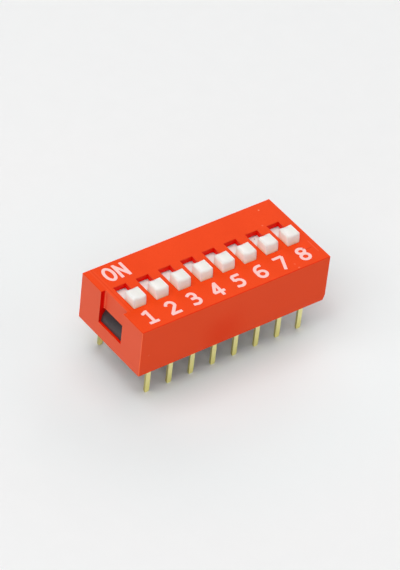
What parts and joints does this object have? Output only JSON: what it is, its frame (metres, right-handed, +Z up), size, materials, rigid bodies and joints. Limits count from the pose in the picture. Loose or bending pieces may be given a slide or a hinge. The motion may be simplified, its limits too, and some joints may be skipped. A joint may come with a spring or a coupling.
{
  "type": "dip switch",
  "caption": "Through-hole DIP slide switch: box-shaped red cover snapped over a black base, with white sliders in a row of slots and rows of gold pins below.",
  "frame": {"origin": "on the plane of the pin tips, at the middle of the pin grid", "axes": "+X along the row towards the last position, +Y towards the ON side, +Z up through the cover"},
  "size_m": [0.0218, 0.0098, 0.01],
  "materials": {
    "cover_plastic": "satin moulded red-orange plastic",
    "base_plastic": "moulded black plastic",
    "slider_plastic": "smooth white plastic",
    "contact_gold": "gold-flashed spring strip",
    "pin_gold": "pale gold plated strip",
    "legend_ink": "thin printed white ink that the red shows through"
  },
  "bodies": {
    "housing": {"cover": "cover_plastic", "base": "base_plastic", "terminal_front_1": "pin_gold", "terminal_front_2": "pin_gold", "terminal_front_3": "pin_gold", "terminal_front_4": "pin_gold", "terminal_front_5": "pin_gold", "terminal_front_6": "pin_gold", "terminal_front_7": "pin_gold", "terminal_front_8": "pin_gold", "terminal_back_1": "pin_gold", "terminal_back_2": "pin_gold", "terminal_back_3": "pin_gold", "terminal_back_4": "pin_gold", "terminal_back_5": "pin_gold", "terminal_back_6": "pin_gold", "terminal_back_7": "pin_gold", "terminal_back_8": "pin_gold"},
    "actuator_1": {"slider_1": "slider_plastic", "wiper_1": "contact_gold"},
    "actuator_2": {"slider_2": "slider_plastic", "wiper_2": "contact_gold"},
    "actuator_3": {"slider_3": "slider_plastic", "wiper_3": "contact_gold"},
    "actuator_4": {"slider_4": "slider_plastic", "wiper_4": "contact_gold"},
    "actuator_5": {"slider_5": "slider_plastic", "wiper_5": "contact_gold"},
    "actuator_6": {"slider_6": "slider_plastic", "wiper_6": "contact_gold"},
    "actuator_7": {"slider_7": "slider_plastic", "wiper_7": "contact_gold"},
    "actuator_8": {"slider_8": "slider_plastic", "wiper_8": "contact_gold"}
  },
  "joints": [
    {"name": "slide_1", "type": "slide", "parent": "housing", "child": "actuator_1", "axis": [0, 1, 0], "range_m": [0, 0.0018]},
    {"name": "slide_2", "type": "slide", "parent": "housing", "child": "actuator_2", "axis": [0, 1, 0], "range_m": [0, 0.0018]},
    {"name": "slide_3", "type": "slide", "parent": "housing", "child": "actuator_3", "axis": [0, 1, 0], "range_m": [0, 0.0018]},
    {"name": "slide_4", "type": "slide", "parent": "housing", "child": "actuator_4", "axis": [0, 1, 0], "range_m": [0, 0.0018]},
    {"name": "slide_5", "type": "slide", "parent": "housing", "child": "actuator_5", "axis": [0, 1, 0], "range_m": [0, 0.0018]},
    {"name": "slide_6", "type": "slide", "parent": "housing", "child": "actuator_6", "axis": [0, 1, 0], "range_m": [0, 0.0018]},
    {"name": "slide_7", "type": "slide", "parent": "housing", "child": "actuator_7", "axis": [0, 1, 0], "range_m": [0, 0.0018]},
    {"name": "slide_8", "type": "slide", "parent": "housing", "child": "actuator_8", "axis": [0, 1, 0], "range_m": [0, 0.0018]}
  ]
}
